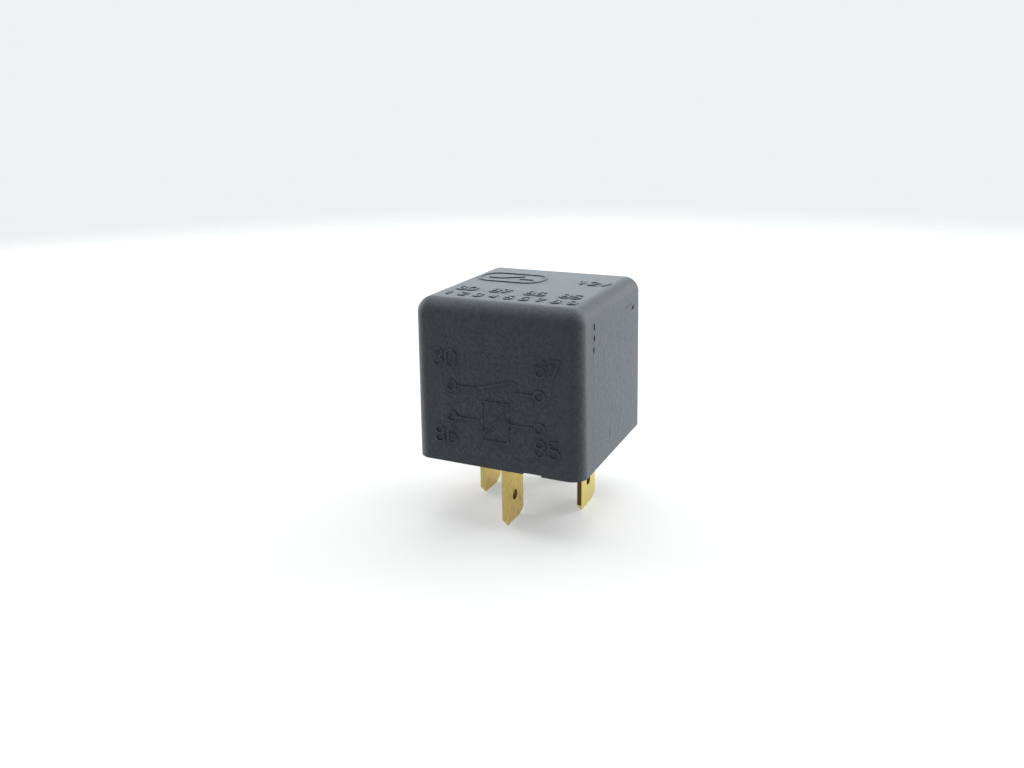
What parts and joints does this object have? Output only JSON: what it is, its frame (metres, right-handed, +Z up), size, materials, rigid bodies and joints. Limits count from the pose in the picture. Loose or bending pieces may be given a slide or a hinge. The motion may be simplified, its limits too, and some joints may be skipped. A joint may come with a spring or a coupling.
{
  "type": "relay",
  "caption": "Plug-in cube relay: grey moulded cover with a raised circuit drawing, on flat brass tabs, with a magnet and a make contact inside.",
  "frame": {"origin": "under the middle of the relay, in the plane of the tab tips", "axes": "+Z up out of the tabs through the cover's top, +X right along the front with the circuit drawing, +Y to the back"},
  "size_m": [0.028, 0.0287, 0.0369],
  "materials": {
    "cover": "moulded, fine spark grain",
    "base": "moulded",
    "tabs": "rolled and stamped, lightly stained",
    "iron": "plated soft iron",
    "bobbin": "moulded",
    "winding": "enamelled copper wire",
    "spring": "rolled bronze strip",
    "contacts": "silver alloy",
    "rivets": "plated",
    "braid": "woven copper wire"
  },
  "bodies": {
    "housing": {"cover": "cover", "base": "base", "terminal_30": "tabs", "terminal_85": "tabs", "terminal_86": "tabs", "terminal_87": "tabs", "yoke": "iron", "core": "iron", "bobbin": "bobbin", "coil_winding": "winding", "coil_lead_start": "winding", "coil_lead_end": "winding", "yoke_rivets": "rivets", "fixed_contact": "contacts", "stop_bracket": "rivets", "braid": "braid"},
    "armature": {"armature": "iron", "contact_spring": "spring", "armature_rivets": "rivets", "moving_contact": "contacts"}
  },
  "joints": [
    {"name": "armature_pivot", "type": "hinge", "parent": "housing", "child": "armature", "pos_m": [0, -0.01135, 0.02985], "axis": [-1, 0, 0], "range_deg": [0, 4], "stiffness_Nm_per_rad": 0.02, "springref_deg": -17.19, "deforming": ["contact_spring", "braid"]}
  ]
}
